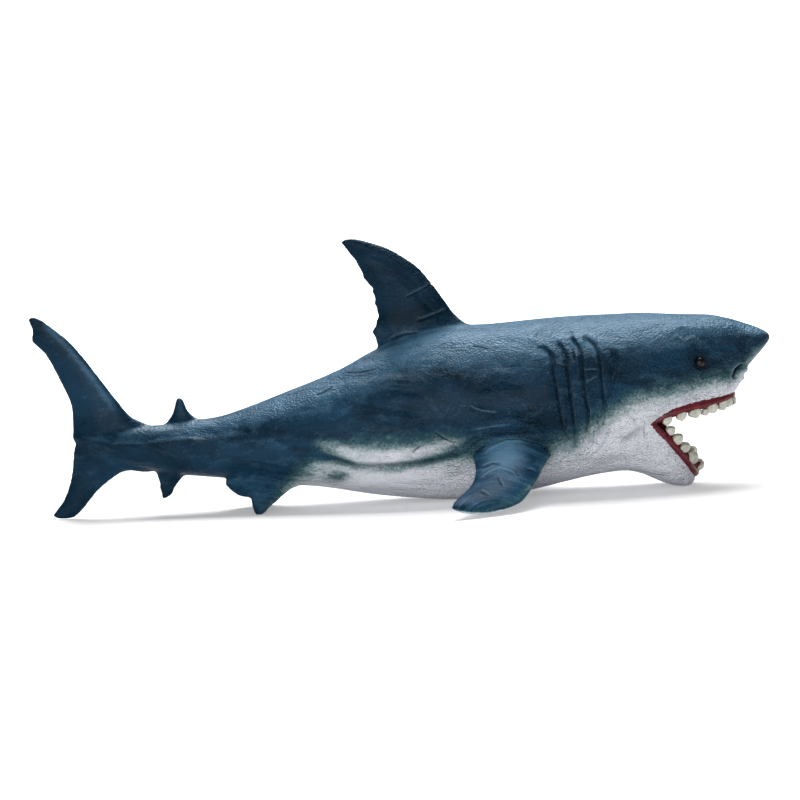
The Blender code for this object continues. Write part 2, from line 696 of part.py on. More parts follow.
def make_tooth(seat, along, bite, length, width, slot):
    """A blunt leaf-shaped tooth, flat across the jaw, with its root in the gum."""
    inward = bite.cross(along).normalized()
    rings = []
    for height, part in TOOTH_OUTLINE:
        ring = []
        for step in range(TOOTH_RING_POINTS):
            turn = 2 * math.pi * step / TOOTH_RING_POINTS
            aside = along * (0.5 * width * part * math.cos(turn))
            deep = inward * (0.5 * TOOTH_THICKNESS * part ** 0.7 * math.sin(turn))
            ring.append(seat + bite * (height * length) + aside + deep)
        rings.append(ring)
    tooth = loft("tooth", rings)
    tooth.data.materials.append(slot)
    return tooth


def along_line(points, travelled, distance):
    """The place at a distance along a line of points."""
    return Vector([np.interp(distance, travelled, [point[axis] for point in points])
                   for axis in range(3)])


def make_teeth(slot):
    """Both rows of teeth, set in the outer edge of the gums and a little uneven."""
    teeth = []
    plans = [(upper_lip(), UPPER_TEETH, UPPER_TOOTH_LENGTH, UPPER_TOOTH_WIDTH),
             (lower_lip(), LOWER_TEETH, LOWER_TOOTH_LENGTH, LOWER_TOOTH_WIDTH)]
    for lip, row, length, width in plans:
        bite = bite_direction(lip)
        gum = inset_lip(lip, GUM_INSET + TOOTH_INSET)
        steps = [(after - before).length for before, after in zip(gum, gum[1:])]
        travelled = np.concatenate(([0.0], np.cumsum(steps)))
        for index, (share, size) in enumerate(row):
            target = travelled[-1] * share
            spot = along_line(gum, travelled, target)
            ahead = along_line(gum, travelled, target + width / 4)
            place = np.interp(target, travelled, range(len(gum)))
            rise = GUM_HEIGHT * gum_share(place, len(gum)) - TOOTH_OVERLAP
            along = (ahead - spot).normalized()
            lean = (bite + along * TOOTH_TILT * math.sin(1.7 * index)).normalized()
            teeth.append(make_tooth(spot + bite * rise, along, lean, length * size,
                                    width * size, slot))
    return teeth


def make_eyes(thing, slot):
    """An eyeball on each side of the head, seated where the skin is."""
    skin_surface = surface_of(thing)
    eyes = []
    for side in (-1, 1):
        start = Vector((x_at(EYE_ALONG), side * BODY_LENGTH, EYE_HEIGHT * BODY_HEIGHT))
        skin, facing = skin_surface.ray_cast(start, Vector((0, -side, 0)))[:2]
        bm = bmesh.new()
        bmesh.ops.create_icosphere(bm, subdivisions=2, radius=EYE_DIAMETER / 2)
        mesh = bpy.data.meshes.new("eye")
        bm.to_mesh(mesh)
        bm.free()
        eye = new_object("eye", mesh)
        eye.location = skin - facing * (EYE_DIAMETER / 2 - EYE_STAND_OUT)
        eye.data.materials.append(slot)
        eyes.append(eye)
    return eyes


def surface_of(thing):
    """A search tree over the surface of an object."""
    return BVHTree.FromPolygons([vertex.co for vertex in thing.data.vertices],
                                [face.vertices for face in thing.data.polygons])


def distance_to(point, surfaces):
    return min(surface.find_nearest(point)[3] for surface in surfaces)


def level_over_lip(point):
    """How far a place lies beyond the nearer lip, towards the open mouth."""
    levels = []
    for lip in (upper_lip(), lower_lip()):
        nearest = min(lip, key=lambda spot: (spot - point).length)
        levels.append(((nearest - point).length, (point - nearest).dot(bite_direction(lip))))
    return min(levels)[1]


def in_mouth(point, skins, gums, hollows):
    """Whether a place is on the gums, the palate, the throat or the floor of the mouth."""
    if point.x < x_at(THROAT[0][0]):
        return False
    red = distance_to(point, hollows)
    if level_over_lip(point) > 0:
        red = min(red, distance_to(point, gums))
    return red < distance_to(point, skins) + VOXEL / 3


def paint(thing, skins, gums, hollows):
    """Gives each face of the skin its field of colour: blue back, pale belly, red mouth."""
    edge = np.array(BELLY_EDGE)
    for face in thing.data.polygons:
        if face.material_index in (TOOTH, EYE):
            continue
        x, y, z = face.center
        along = x / BODY_LENGTH + FLAT_ALONG
        height = np.interp(along, edge[:, 0], edge[:, 1], left=-1.0) * BODY_HEIGHT
        on_fin = abs(y) > FIN_STARTS * BODY_HALF_WIDTH
        pale = face.normal.z < UNDERSIDE_NORMAL if on_fin else z < height
        red = in_mouth(face.center, skins, gums, hollows)
        face.material_index = GUM if red else BELLY if pale else SKIN


def make_materials():
    materials = []
    for name, colour, roughness in PAINT:
        material = bpy.data.materials.new(name)
        material.use_nodes = True
        shader = material.node_tree.nodes["Principled BSDF"]
        shader.inputs["Base Color"].default_value = colour
        shader.inputs["Roughness"].default_value = roughness
        shader.inputs["Metallic"].default_value = 0.0
        materials.append(material)
    return materials


def make_floor_cutter():
    """What lies under the resting plane, taken off the belly, chin and tail tip."""
    size = 2 * BODY_LENGTH
    bm = bmesh.new()
    bmesh.ops.create_cube(bm, size=size)
    bmesh.ops.translate(bm, verts=bm.verts, vec=(0.0, 0.0, -size / 2))
    mesh = bpy.data.meshes.new("floor_cutter")
    bm.to_mesh(mesh)
    bm.free()
    return new_object("floor_cutter", mesh)


def make_shark():
    materials = make_materials()
    solids = [make_trunk(), make_head(), make_jaw()]
    cutters = make_mouth_cutters()
    bands = make_gums()
    skins = [surface_of(solid) for solid in solids]
    gums = [surface_of(band) for band in bands]
    hollows = [surface_of(cutter) for cutter in cutters]
    for solid in solids:
        for cutter in cutters:
            boolean(solid, cutter, "DIFFERENCE")
    for cutter in cutters:
        bpy.data.objects.remove(cutter)
    shark = join(solids + bands + make_fins(), "shark")
    apply_modifier(shark, "REMESH", mode="VOXEL", voxel_size=VOXEL)
    apply_modifier(shark, "SMOOTH", factor=0.5, iterations=BLEND_ROUNDS)
    carve_skin(shark)
    faces = len(shark.data.polygons) * 2
    apply_modifier(shark, "DECIMATE", decimate_type="COLLAPSE", ratio=BODY_TRIANGLES / faces,
                   use_collapse_triangulate=True)
    shark.data.materials.clear()
    for material in materials:
        shark.data.materials.append(material)
    details = make_teeth(materials[TOOTH]) + make_eyes(shark, materials[EYE])
    for detail in details:
        apply_modifier(shark, "BOOLEAN", operation="UNION", object=detail, solver="EXACT",
                       material_mode="TRANSFER")
        bpy.data.objects.remove(detail)
    paint(shark, skins, gums, hollows)
    bend_tail(shark)
    floor = make_floor_cutter()
    boolean(shark, floor, "DIFFERENCE")
    bpy.data.objects.remove(floor)
    shark.data.shade_smooth()
    shark.data.set_sharp_from_angle(angle=SHARP_ANGLE)
    return shark


for thing in list(bpy.data.objects):
    bpy.data.objects.remove(thing)
make_shark()
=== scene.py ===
import math

import bpy
import numpy as np
from mathutils import Matrix, Vector
from mathutils.bvhtree import BVHTree


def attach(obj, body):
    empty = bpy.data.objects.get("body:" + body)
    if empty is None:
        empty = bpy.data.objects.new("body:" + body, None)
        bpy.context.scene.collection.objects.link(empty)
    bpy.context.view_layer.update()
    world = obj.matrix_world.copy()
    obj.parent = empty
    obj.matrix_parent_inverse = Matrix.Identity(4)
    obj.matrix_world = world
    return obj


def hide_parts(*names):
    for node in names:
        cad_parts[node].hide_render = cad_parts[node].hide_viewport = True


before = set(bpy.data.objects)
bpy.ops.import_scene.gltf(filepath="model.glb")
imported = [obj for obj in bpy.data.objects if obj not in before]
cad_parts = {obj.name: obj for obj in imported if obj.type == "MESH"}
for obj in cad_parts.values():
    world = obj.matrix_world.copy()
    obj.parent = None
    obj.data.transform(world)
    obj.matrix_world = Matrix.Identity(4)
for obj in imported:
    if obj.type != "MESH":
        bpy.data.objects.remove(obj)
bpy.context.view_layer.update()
scene = bpy.context.scene

# The camera looks at the shark's right side from a little above, far off with a long lens.
# It is turned by the few degrees by which the nose points up in the picture.
PICTURE_SIDE = 800
METRES_PER_PIXEL = 0.00039136
NOSE_UP = math.radians(3.48)
LOOKING_DOWN = math.radians(6.5)
ORIGIN_PIXEL = (470, 497)
CAMERA_DISTANCE = 6.0
SENSOR_WIDTH = 36.0
to_right = Vector((math.cos(NOSE_UP), 0.0, -math.sin(NOSE_UP)))
square_up = Vector((math.sin(NOSE_UP), 0.0, math.cos(NOSE_UP)))
away = Vector((0.0, 1.0, 0.0))
to_top = square_up * math.cos(LOOKING_DOWN) + away * math.sin(LOOKING_DOWN)
looking = away * math.cos(LOOKING_DOWN) - square_up * math.sin(LOOKING_DOWN)


def picture_place(points):
    """Columns of picture x and picture y for rows of points on the near side."""
    across = points @ np.array(to_right)
    rising = points @ np.array(to_top)
    return (ORIGIN_PIXEL[0] + across / METRES_PER_PIXEL,
            ORIGIN_PIXEL[1] - rising / METRES_PER_PIXEL)


def behind_pixel(pixel_x, pixel_y):
    """The point of the camera's plane through the origin that a pixel shows."""
    return (to_right * ((pixel_x - ORIGIN_PIXEL[0]) * METRES_PER_PIXEL)
            + to_top * ((ORIGIN_PIXEL[1] - pixel_y) * METRES_PER_PIXEL))


middle = behind_pixel(PICTURE_SIDE / 2, PICTURE_SIDE / 2)
lens_data = bpy.data.cameras.new("camera")
lens_data.sensor_width = SENSOR_WIDTH
lens_data.lens = SENSOR_WIDTH * CAMERA_DISTANCE / (PICTURE_SIDE * METRES_PER_PIXEL)
lens_data.clip_start = 0.1
lens_data.clip_end = 30.0
camera = bpy.data.objects.new("camera", lens_data)
scene.collection.objects.link(camera)
turn = Matrix((to_right, to_top, -looking)).transposed()
camera.matrix_world = Matrix.Translation(middle - looking * CAMERA_DISTANCE) @ turn.to_4x4()
scene.camera = camera

# The shark's skin is one hollow moulding of soft vinyl, sprayed dark blue over off-white.
# The slits, folds, scars and wrinkles are in the mould, and the mouth is painted by hand.
FINE_VOXEL = 0.00045
SKIN_TRIANGLES = 188000

bpy.ops.object.select_all(action="DESELECT")
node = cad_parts["shark"]
node.select_set(True)
bpy.context.view_layer.objects.active = node
bpy.ops.object.duplicate()
skin = bpy.context.active_object
skin.name = "shark_skin"
skin.parent = None
skin.matrix_world = Matrix.Identity(4)
bpy.ops.object.mode_set(mode="EDIT")
bpy.ops.mesh.select_all(action="SELECT")
bpy.ops.mesh.remove_doubles(threshold=0.00001)
bpy.ops.mesh.customdata_custom_splitnormals_clear()
bpy.ops.object.mode_set(mode="OBJECT")
finer = skin.modifiers.new("finer", "SUBSURF")
finer.levels = 1
finer.render_levels = 1
bpy.ops.object.modifier_apply(modifier="finer")
even = skin.modifiers.new("even", "REMESH")
even.mode = "VOXEL"
even.voxel_size = FINE_VOXEL
bpy.ops.object.modifier_apply(modifier="even")
soft = skin.modifiers.new("soft", "SMOOTH")
soft.factor = 0.5
soft.iterations = 10
bpy.ops.object.modifier_apply(modifier="soft")


def numbers_of(mesh, what):
    """Rows of three numbers, the places or the normals of a mesh's corners."""
    flat = np.zeros(len(mesh.vertices) * 3)
    mesh.vertices.foreach_get(what, flat)
    return flat.reshape(-1, 3)


def near_side(points):
    """The points with the far side of the body turned over onto the near side."""
    turned = points.copy()
    turned[:, 1] = -np.abs(turned[:, 1])
    return turned


def gap_to_line(across, down, line):
    """How many pixels each place lies from a line, which side of it, and how far along."""
    points = np.array(line, dtype=float)
    nearest = np.full(len(across), 900.0)
    side = np.zeros(len(across))
    share_along = np.zeros(len(across))
    runs = np.hypot(*(points[1:] - points[:-1]).T)
    travelled = np.concatenate(([0.0], np.cumsum(runs)))
    for index, (start, end) in enumerate(zip(points, points[1:])):
        run = end - start
        share = ((across - start[0]) * run[0] + (down - start[1]) * run[1]) / run.dot(run)
        share = np.clip(share, 0.0, 1.0)
        off_x = across - start[0] - share * run[0]
        off_y = down - start[1] - share * run[1]
        gap = np.hypot(off_x, off_y)
        closer = gap < nearest
        nearest[closer] = gap[closer]
        side[closer] = np.sign(off_x * run[1] - off_y * run[0])[closer]
        share_along[closer] = ((travelled[index] + share * runs[index]) / travelled[-1])[closer]
    return nearest, side, share_along


def bell(gap, half_width):
    """1 on a line, falling off smoothly to each side."""
    return np.exp(-(gap / half_width) ** 2)


def fade_in(values, start, end):
    """0 before start, 1 after end, and a smooth step between."""
    share = np.clip((values - start) / (end - start), 0.0, 1.0)
    return share * share * (3 - 2 * share)


def inside_outline(across, down, outline):
    """Which places lie inside a closed outline."""
    points = np.array(outline, dtype=float)
    within = np.zeros(len(across), dtype=bool)
    for start, end in zip(points, np.roll(points, -1, axis=0)):
        crosses = (start[1] > down) != (end[1] > down)
        reach = start[0] + (down - start[1]) / (end[1] - start[1] + 1e-9) * (end[0] - start[0])
        within ^= crosses & (across < reach)
    return within


# Lines in the mould, as places in the picture: gill slits, scars cut in, folds, ridges with
# painted highlights
GILL_SLITS = [
    [(544, 349.5), (551, 361.6), (553.5, 378), (557, 398), (562, 422), (567.6, 440)],
    [(559, 346), (564, 359), (567, 375), (570, 396), (573.5, 420), (575.5, 444)],
    [(573.3, 341), (580.5, 356), (582, 375), (585, 398), (588, 412), (586, 431),
     (589.5, 442), (595.6, 444.5)],
    [(586.5, 339), (595, 349), (599.5, 362), (601, 380), (603, 398), (605, 409)],
    [(595.6, 413), (598, 427), (597, 441)],
    [(614.7, 362), (614, 369), (610, 377)],
]
SLIT_STRENGTH = [1.0, 1.0, 1.0, 0.8, 0.4, 0.3]
SCARS = [
    [(553.7, 364), (561, 366), (568.8, 367.2)],
    [(581.7, 371.8), (590, 371), (598, 371)],
    [(585.2, 384.2), (591, 381), (598, 376.5)],
    [(470.8, 346.2), (481, 347), (490.7, 350)],
    [(342.5, 373), (360, 372.5), (378.7, 368.3)],
    [(314.5, 396), (324, 392), (334.3, 385.8)],
    [(432.3, 430.2), (441.7, 437.2), (451, 441.8), (461.5, 443)],
    [(411.3, 453.5), (416, 449), (421.8, 445.3)],
    [(480.7, 467), (490.8, 463), (501, 463.7)],
    [(497, 475.7), (502, 486)],
    [(479.4, 489.7), (488.3, 494.7)],
    [(525, 468.8), (535, 470.7)],
    [(403, 299), (420, 291), (437, 281)],
    [(415, 322), (432, 316), (448, 309)],
    [(600, 352), (606, 349), (612, 350)],
    [(236, 412), (246, 406), (258, 403)],
    [(388, 340), (404, 334), (420, 333)],
]
FOLDS = [
    [(286, 446), (304, 450), (315.7, 448), (325, 444)],
    [(318, 450), (332, 459.3), (350.7, 465.2), (371.7, 466.8), (392.7, 465.9), (420.7, 462.8),
     (441.7, 459.3), (458, 450)],
    [(462.7, 450), (474.3, 438.3), (493, 431.3), (516.3, 431.3), (537.3, 437.2), (551.3, 443)],
    [(481.3, 419.7), (511.7, 413), (535, 422), (551.3, 436)],
    [(620, 443), (632, 435), (642.5, 427)],
    [(327, 478), (336.7, 482.7), (348, 473)],
]
RIDGES = [
    [(467.3, 403.3), (474, 408), (481.3, 410.3), (500, 412.7)],
    [(469.7, 430.2), (488.3, 426.7), (511.7, 423.9)],
    [(475.6, 479.5), (487, 472), (498.4, 467), (511, 470.7), (519.9, 478.3)],
    [(478, 456.7), (490.8, 448), (506, 441), (521.2, 441), (530, 445.3)],
    [(556, 441), (553, 451), (545, 462)],
    [(573, 437), (569, 452), (556, 462)],
    [(590, 427), (593, 440), (588, 452)],
    [(610, 425), (601, 445), (585, 458)],
    [(668, 341), (676, 335), (684, 341), (692, 336), (700, 340)],
    [(674, 330), (683, 327), (691, 331)],
]
SWELLS = [
    [(46, 330), (69, 353), (87, 375), (105, 399), (121, 419)],
    [(352, 243), (385, 255), (415, 277), (440, 305), (455, 320)],
    [(470, 385), (500, 372), (530, 378)],
    [(330, 425), (360, 415), (400, 418), (430, 425)],
    [(350, 390), (390, 380), (430, 386)],
    [(655, 335), (690, 325), (720, 335)],
    [(645, 400), (670, 392), (700, 386), (728, 379)],
    [(560, 452), (600, 455), (640, 447)],
]
# small pulls on the mould's edges, as by thumb: where, how wide, and how far across and down
PULLS = [
    (180, 406, 11, 0, -4.5), (189, 412, 4, -1.0, 0),
    (258, 511, 7, -1, 3.5), (247, 500, 5, 3.5, -2.0), (270, 502, 5, -2.5, 0),
    (168, 494, 4, 2.5, 0.5), (162, 490, 3, -1.0, 0),
    (352, 262, 4, 1.5, 0), (364, 279, 4, -2.0, 0), (371, 288, 3, 2.0, 0), (374, 304, 4, -2.5, 0),
    (379, 316, 4, 2.0, 0), (376, 332, 4, -3.0, 0),
    (744, 370, 3, 2.5, 0), (742, 379, 3, 2.5, 0), (747, 363, 3, -1.5, 0),
]
KEEL = [(72, 438), (92, 440), (114, 444.5), (141, 445), (167, 441), (196, 439), (220, 437),
        (255, 435)]
UPPER_LIP = [(649.4, 424), (660, 416), (671, 409), (686, 404.5), (703, 400), (722, 396),
             (733, 392)]
LOWER_LIP = [(649.4, 424), (657.4, 434), (669, 444.6), (680.4, 458.4), (694, 475.6)]
NOSTRIL = [(733, 376), (735, 370), (740, 366)]
EYE_PIXEL = (698.7, 362.6)
MOUTH_FRONT = [(745, 388), (760, 400), (760, 480), (696, 480)]
MOUTH_OUTLINE = UPPER_LIP + MOUTH_FRONT + LOWER_LIP[::-1][:-1]
# the mouth's hollow starts at this picture x and lies below this picture y
THROAT_PIXEL = 585
ROOF_PIXEL = 385
# sizes in metres: how far a cheek may be from what it hides, and where a fin leaves the body
CHEEK_REACH = 0.06
CLEAR_OF_SKIN = 0.0005
FIN_REACH = 0.0300
GILL_DEPTH = 0.0008
SCAR_DEPTH = 0.0004
FOLD_DEPTH = 0.0008
RIDGE_HEIGHT = 0.00030
SWELL_HEIGHT = 0.0007
NOSTRIL_DEPTH = 0.0014
EYELID_HEIGHT = 0.00035
# half widths in picture pixels, of each form and of its painted shade or highlight, and how far
# off its edges stand
SLIT_WIDTH, SLIT_PAINT_WIDTH = 1.2, 0.75
SLIT_LIP_AWAY, SLIT_LIP_WIDTH = 3.4, 2.2
LIP_HIGHLIGHT_AWAY, LIP_HIGHLIGHT_WIDTH = 1.9, 0.7
SCAR_WIDTH, SCAR_PAINT_WIDTH = 0.9, 0.8
SCAR_EDGE_AWAY, SCAR_EDGE_WIDTH = 1.6, 0.7
FOLD_WIDTH, FOLD_PAINT_WIDTH = 3.2, 3.0
RIDGE_WIDTH, RIDGE_PAINT_WIDTH = 1.5, 0.9
RIDGE_DIP_AWAY, RIDGE_DIP_WIDTH = 2.6, 1.2
SWELL_WIDTH = 4.5
SWELL_DIP_AWAY, SWELL_DIP_WIDTH = 9.0, 4.0
KEEL_WIDTH = 1.0
NOSTRIL_WIDTH, NOSTRIL_PAINT_WIDTH = 1.7, 2.1
NOSTRIL_RIM_AWAY, NOSTRIL_RIM_WIDTH = 3.6, 1.2
NOSTRIL_EDGE_AWAY, NOSTRIL_EDGE_WIDTH = 3.4, 0.8
EYELID_AWAY, EYELID_WIDTH = 7.5, 1.8
SOCKET_WIDTH, SOCKET_PAINT_WIDTH = 5.0, 8.0


def hidden_in_mouth(points, normals, across, down):
    """1 inside the mouth: what the jaws hide from the side, and what lies within the lips."""
    red = np.zeros(len(points))
    for index in np.nonzero((across > THROAT_PIXEL) & (down > ROOF_PIXEL))[0]:
        start = Vector(points[index]) + Vector(normals[index]) * CLEAR_OF_SKIN
        sideways = Vector((0.0, math.copysign(1.0, points[index, 1]), 0.0))
        if tree.ray_cast(start, sideways, CHEEK_REACH)[0] is not None:
            red[index] = 1.0
    red[inside_outline(across, down, MOUTH_OUTLINE)] = 1.0
    return red


place = numbers_of(skin.data, "co")
tree = BVHTree.FromPolygons([Vector(point) for point in place],
                            [face.vertices for face in skin.data.polygons])
across, down = picture_place(near_side(place))
red = hidden_in_mouth(place, numbers_of(skin.data, "normal"), across, down)
mouth_group = skin.vertex_groups.new(name="mouth")
mouth_group.add([int(index) for index in np.nonzero(red > 0)[0]], 1.0, "REPLACE")
blunt = skin.modifiers.new("blunt", "SMOOTH")
blunt.factor = 0.5
blunt.iterations = 150
blunt.vertex_group = "mouth"
bpy.ops.object.modifier_apply(modifier="blunt")

place = numbers_of(skin.data, "co")
facing = numbers_of(skin.data, "normal")
across, down = picture_place(near_side(place))
near_facing = facing.copy()
near_facing[place[:, 1] > 0, 1] *= -1
seen = fade_in(-near_facing[:, 1], 0.05, 0.35)
on_fin = np.abs(place[:, 1]) > FIN_REACH
shift = np.zeros(len(place))
painted_crease_shade = np.zeros(len(place))
light = np.zeros(len(place))
# each gill slit is cut in, with painted shade inside it and a painted highlight along its rear
# lip
for strength, line in zip(SLIT_STRENGTH, GILL_SLITS):
    gap, side, along = gap_to_line(across, down, line)
    ends = fade_in(along, 0.0, 0.20) * (1 - 0.6 * fade_in(along, 0.7, 1.0)) * strength
    deep = fade_in(along, 0.05, 0.45) * strength
    shift -= GILL_DEPTH * bell(gap, SLIT_WIDTH) * deep
    lip = bell(gap - SLIT_LIP_AWAY, SLIT_LIP_WIDTH) * (side > 0) * ends
    shift += 0.6 * GILL_DEPTH * lip * deep
    shade = (1.0 - 0.45 * fade_in(along, 0.3, 0.8)) * bell(gap, SLIT_PAINT_WIDTH) * ends
    painted_crease_shade = np.maximum(painted_crease_shade, shade)
    lip_highlight = (bell(gap - LIP_HIGHLIGHT_AWAY, LIP_HIGHLIGHT_WIDTH) * (side > 0) * ends
                * fade_in(along, 0.1, 0.6))
    light = np.maximum(light, 0.26 * lip_highlight)
# each scar is cut in, with painted shade inside it and a painted highlight along one edge
for line in SCARS:
    gap, side, along = gap_to_line(across, down, line)
    ends = fade_in(along, 0.0, 0.2) * (1 - fade_in(along, 0.8, 1.0))
    shift -= SCAR_DEPTH * bell(gap, SCAR_WIDTH) * ends
    painted_crease_shade = np.maximum(painted_crease_shade, 0.9 * bell(gap, SCAR_PAINT_WIDTH) * ends)
    scar_edge = bell(gap - SCAR_EDGE_AWAY, SCAR_EDGE_WIDTH)
    light = np.maximum(light, 0.25 * scar_edge * (side > 0) * ends)
# each fold is pressed in, with faint painted shade along it
for line in FOLDS:
    gap, side, along = gap_to_line(across, down, line)
    ends = fade_in(along, 0.0, 0.2) * (1 - fade_in(along, 0.8, 1.0))
    shift -= FOLD_DEPTH * bell(gap, FOLD_WIDTH) * ends
    painted_crease_shade = np.maximum(painted_crease_shade, 0.35 * bell(gap, FOLD_PAINT_WIDTH) * ends)
# each ridge stands up, with a painted highlight along it and a dip beside it
for line in RIDGES:
    gap, side, along = gap_to_line(across, down, line)
    ends = fade_in(along, 0.0, 0.25) * (1 - fade_in(along, 0.75, 1.0))
    dip = bell(gap - RIDGE_DIP_AWAY, RIDGE_DIP_WIDTH)
    shift += RIDGE_HEIGHT * (bell(gap, RIDGE_WIDTH) - 0.7 * dip) * ends
    light = np.maximum(light, 0.30 * bell(gap, RIDGE_PAINT_WIDTH) * ends)
for line in SWELLS:
    gap, side, along = gap_to_line(across, down, line)
    ends = fade_in(along, 0.0, 0.25) * (1 - fade_in(along, 0.75, 1.0))
    dip = bell(gap - SWELL_DIP_AWAY, SWELL_DIP_WIDTH)
    shift += SWELL_HEIGHT * (bell(gap, SWELL_WIDTH) - 0.5 * dip) * ends
# painted shade along the crease of the keel
gap, side, along = gap_to_line(across, down, KEEL)
crease = fade_in(along, 0.0, 0.05) * (1 - fade_in(along, 0.75, 1.0))
painted_crease_shade = np.maximum(painted_crease_shade, 0.8 * bell(gap, KEEL_WIDTH) * crease)
# the nostril is pressed in, with painted shade inside it and a painted highlight on one edge
gap, side, along = gap_to_line(across, down, NOSTRIL)
shift -= NOSTRIL_DEPTH * bell(gap, NOSTRIL_WIDTH)
shift += 0.5 * NOSTRIL_DEPTH * bell(gap - NOSTRIL_RIM_AWAY, NOSTRIL_RIM_WIDTH)
painted_crease_shade = np.maximum(painted_crease_shade, bell(gap, NOSTRIL_PAINT_WIDTH))
nostril_edge = bell(gap - NOSTRIL_EDGE_AWAY, NOSTRIL_EDGE_WIDTH)
light = np.maximum(light, 0.8 * nostril_edge * (side > 0))
# round the eye a raised lid, and a sunken socket with painted shade in it
eye_gap = np.hypot(across - EYE_PIXEL[0], down - EYE_PIXEL[1])
eyelid = bell(eye_gap - EYELID_AWAY, EYELID_WIDTH)
shift += EYELID_HEIGHT * eyelid * (0.6 + 0.4 * np.sin(across * 0.9))
shift -= 0.8 * EYELID_HEIGHT * bell(eye_gap, SOCKET_WIDTH)
painted_crease_shade = np.maximum(painted_crease_shade, 0.95 * bell(eye_gap, SOCKET_PAINT_WIDTH))
shift[red > 0] = 0.0
flank = seen.copy()
flank[on_fin] = fade_in(facing[on_fin, 2], 0.2, 0.5)
place += facing * (shift * flank)[:, None]
for pull_x, pull_y, wide, move_x, move_y in PULLS:
    held = bell(np.hypot(across - pull_x, down - pull_y), wide) * METRES_PER_PIXEL
    place += held[:, None] * (np.array(to_right) * move_x - np.array(to_top) * move_y)
# nothing goes below the floor
place[:, 2] = np.maximum(place[:, 2], 0.0)
skin.data.vertices.foreach_set("co", place.ravel())
skin.data.update()

# the pale underside, with its soft wavy edge, and the rest of the sprayed paint, with painted
# highlights and painted shade
BELLY_EDGE = [(255, 540), (280, 500), (300, 474), (325, 458), (350, 451), (380, 449), (410, 447),
              (440, 448), (465, 454), (500, 462), (540, 452), (575, 440), (600, 420), (620, 408),
              (640, 397), (660, 392), (690, 385), (712, 378), (728, 377), (742, 368), (752, 356),
              (768, 346)]
EDGE_SPREAD = [(255, 60), (300, 60), (400, 62), (500, 64), (600, 56), (660, 44), (768, 30)]
NO_BELLY_BEHIND = 600.0
# the long belly fold with painted shade along it, the painted highlight band above it, and a
# painted shadow patch in front of the pelvic fin
BELLY_FOLD = [(300, 452), (335, 459), (358, 467), (385, 469), (411, 465), (441, 458), (464, 450)]
FOLD_STARTS = (295, 325)
FOLD_ENDS = (450, 475)
FOLD_SHADE_WIDTH = 5.0
BAND_ABOVE_FOLD, BAND_WIDTH = 12.0, 8.0
SHADOW_PATCH_PIXEL = (337, 478)
SHADOW_PATCH_STRETCH, SHADOW_PATCH_SIZE = 1.6, 8.0
# where the painted highlight on the back grows brighter towards the head, the painted highlight
# patch on the pectoral fin and along the tail's edge, and the pale rims of the fins
BACK_BRIGHTENS = (340, 460)
FIN_SHINE_PIXEL = (503, 452)
FIN_SHINE_SIZE = 19.0
TAIL_RIM = SWELLS[0]
TAIL_RIM_WIDTH = 3.5
FIN_RIM = [(456, 511), (487, 511), (516, 499), (538, 477), (549, 453)]
FIN_RIM_WIDTH = 6.0
# painted shade on the dorsal fin, by picture y and then x, and on the tail stem, by picture x
DORSAL_FOOT = (318, 332)
DORSAL_REAR = (330, 345)
DORSAL_FRONT = 470
STEM_TO_FLANK = (120, 300)
# where the grain of the skin begins and where it grows stronger, and where brush strokes start
GRAIN_BEGINS = (170, 300)
GRAIN_GROWS = (380, 470)
BRUSH_CENTRE = (497, 540)


def down_at(across, line, left=None):
    """The picture y of a line at each picture x."""
    points = np.array(line, dtype=float)
    return np.interp(across, points[:, 0], points[:, 1], left=left)


edge_down = down_at(across, BELLY_EDGE, left=NO_BELLY_BEHIND)
pale_and_painted_light = np.clip((down - edge_down) / down_at(across, EDGE_SPREAD) + 0.5, 0.0, 1.0)
pale_and_painted_light[on_fin] = np.clip(-0.9 * facing[on_fin, 2] + 0.25, 0.0, 0.8)
fold_down = down_at(across, BELLY_FOLD)
along_fold = fade_in(across, *FOLD_STARTS) * (1 - fade_in(across, *FOLD_ENDS)) * seen * ~on_fin
# a painted highlight band above the belly fold, painted shade along the fold, and a painted
# shadow patch in front of the pelvic fin
pale_and_painted_light += 0.24 * bell(down - fold_down + BAND_ABOVE_FOLD, BAND_WIDTH) * along_fold
pale_and_painted_light -= 0.30 * bell(down - fold_down, FOLD_SHADE_WIDTH) * along_fold
shadow_patch_gap = np.hypot((across - SHADOW_PATCH_PIXEL[0]) / SHADOW_PATCH_STRETCH, down - SHADOW_PATCH_PIXEL[1])
pale_and_painted_light -= 0.35 * bell(shadow_patch_gap, SHADOW_PATCH_SIZE)
pale_and_painted_light = np.clip(pale_and_painted_light, 0.0, 1.0)
# painted highlight: lighter paint where the skin faces up, brighter towards the head, as a patch
# on the pectoral fin and as a line along the tail's edge
painted_highlight = fade_in(facing[:, 2], 0.25, 0.9) * (1 - pale_and_painted_light)
painted_highlight *= 0.6 + 0.4 * fade_in(across, *BACK_BRIGHTENS)
shine_gap = np.hypot(across - FIN_SHINE_PIXEL[0], down - FIN_SHINE_PIXEL[1])
painted_highlight[on_fin] = (1.3 * bell(shine_gap, FIN_SHINE_SIZE))[on_fin]
gap, side, along = gap_to_line(across, down, TAIL_RIM)
painted_highlight = np.maximum(painted_highlight, 0.55 * bell(gap, TAIL_RIM_WIDTH) * (1 - fade_in(along, 0.8, 1.0)))
gap, side, along = gap_to_line(across, down, FIN_RIM)
pale_and_painted_light[on_fin] = np.maximum(pale_and_painted_light, 0.34 * bell(gap, FIN_RIM_WIDTH))[on_fin]
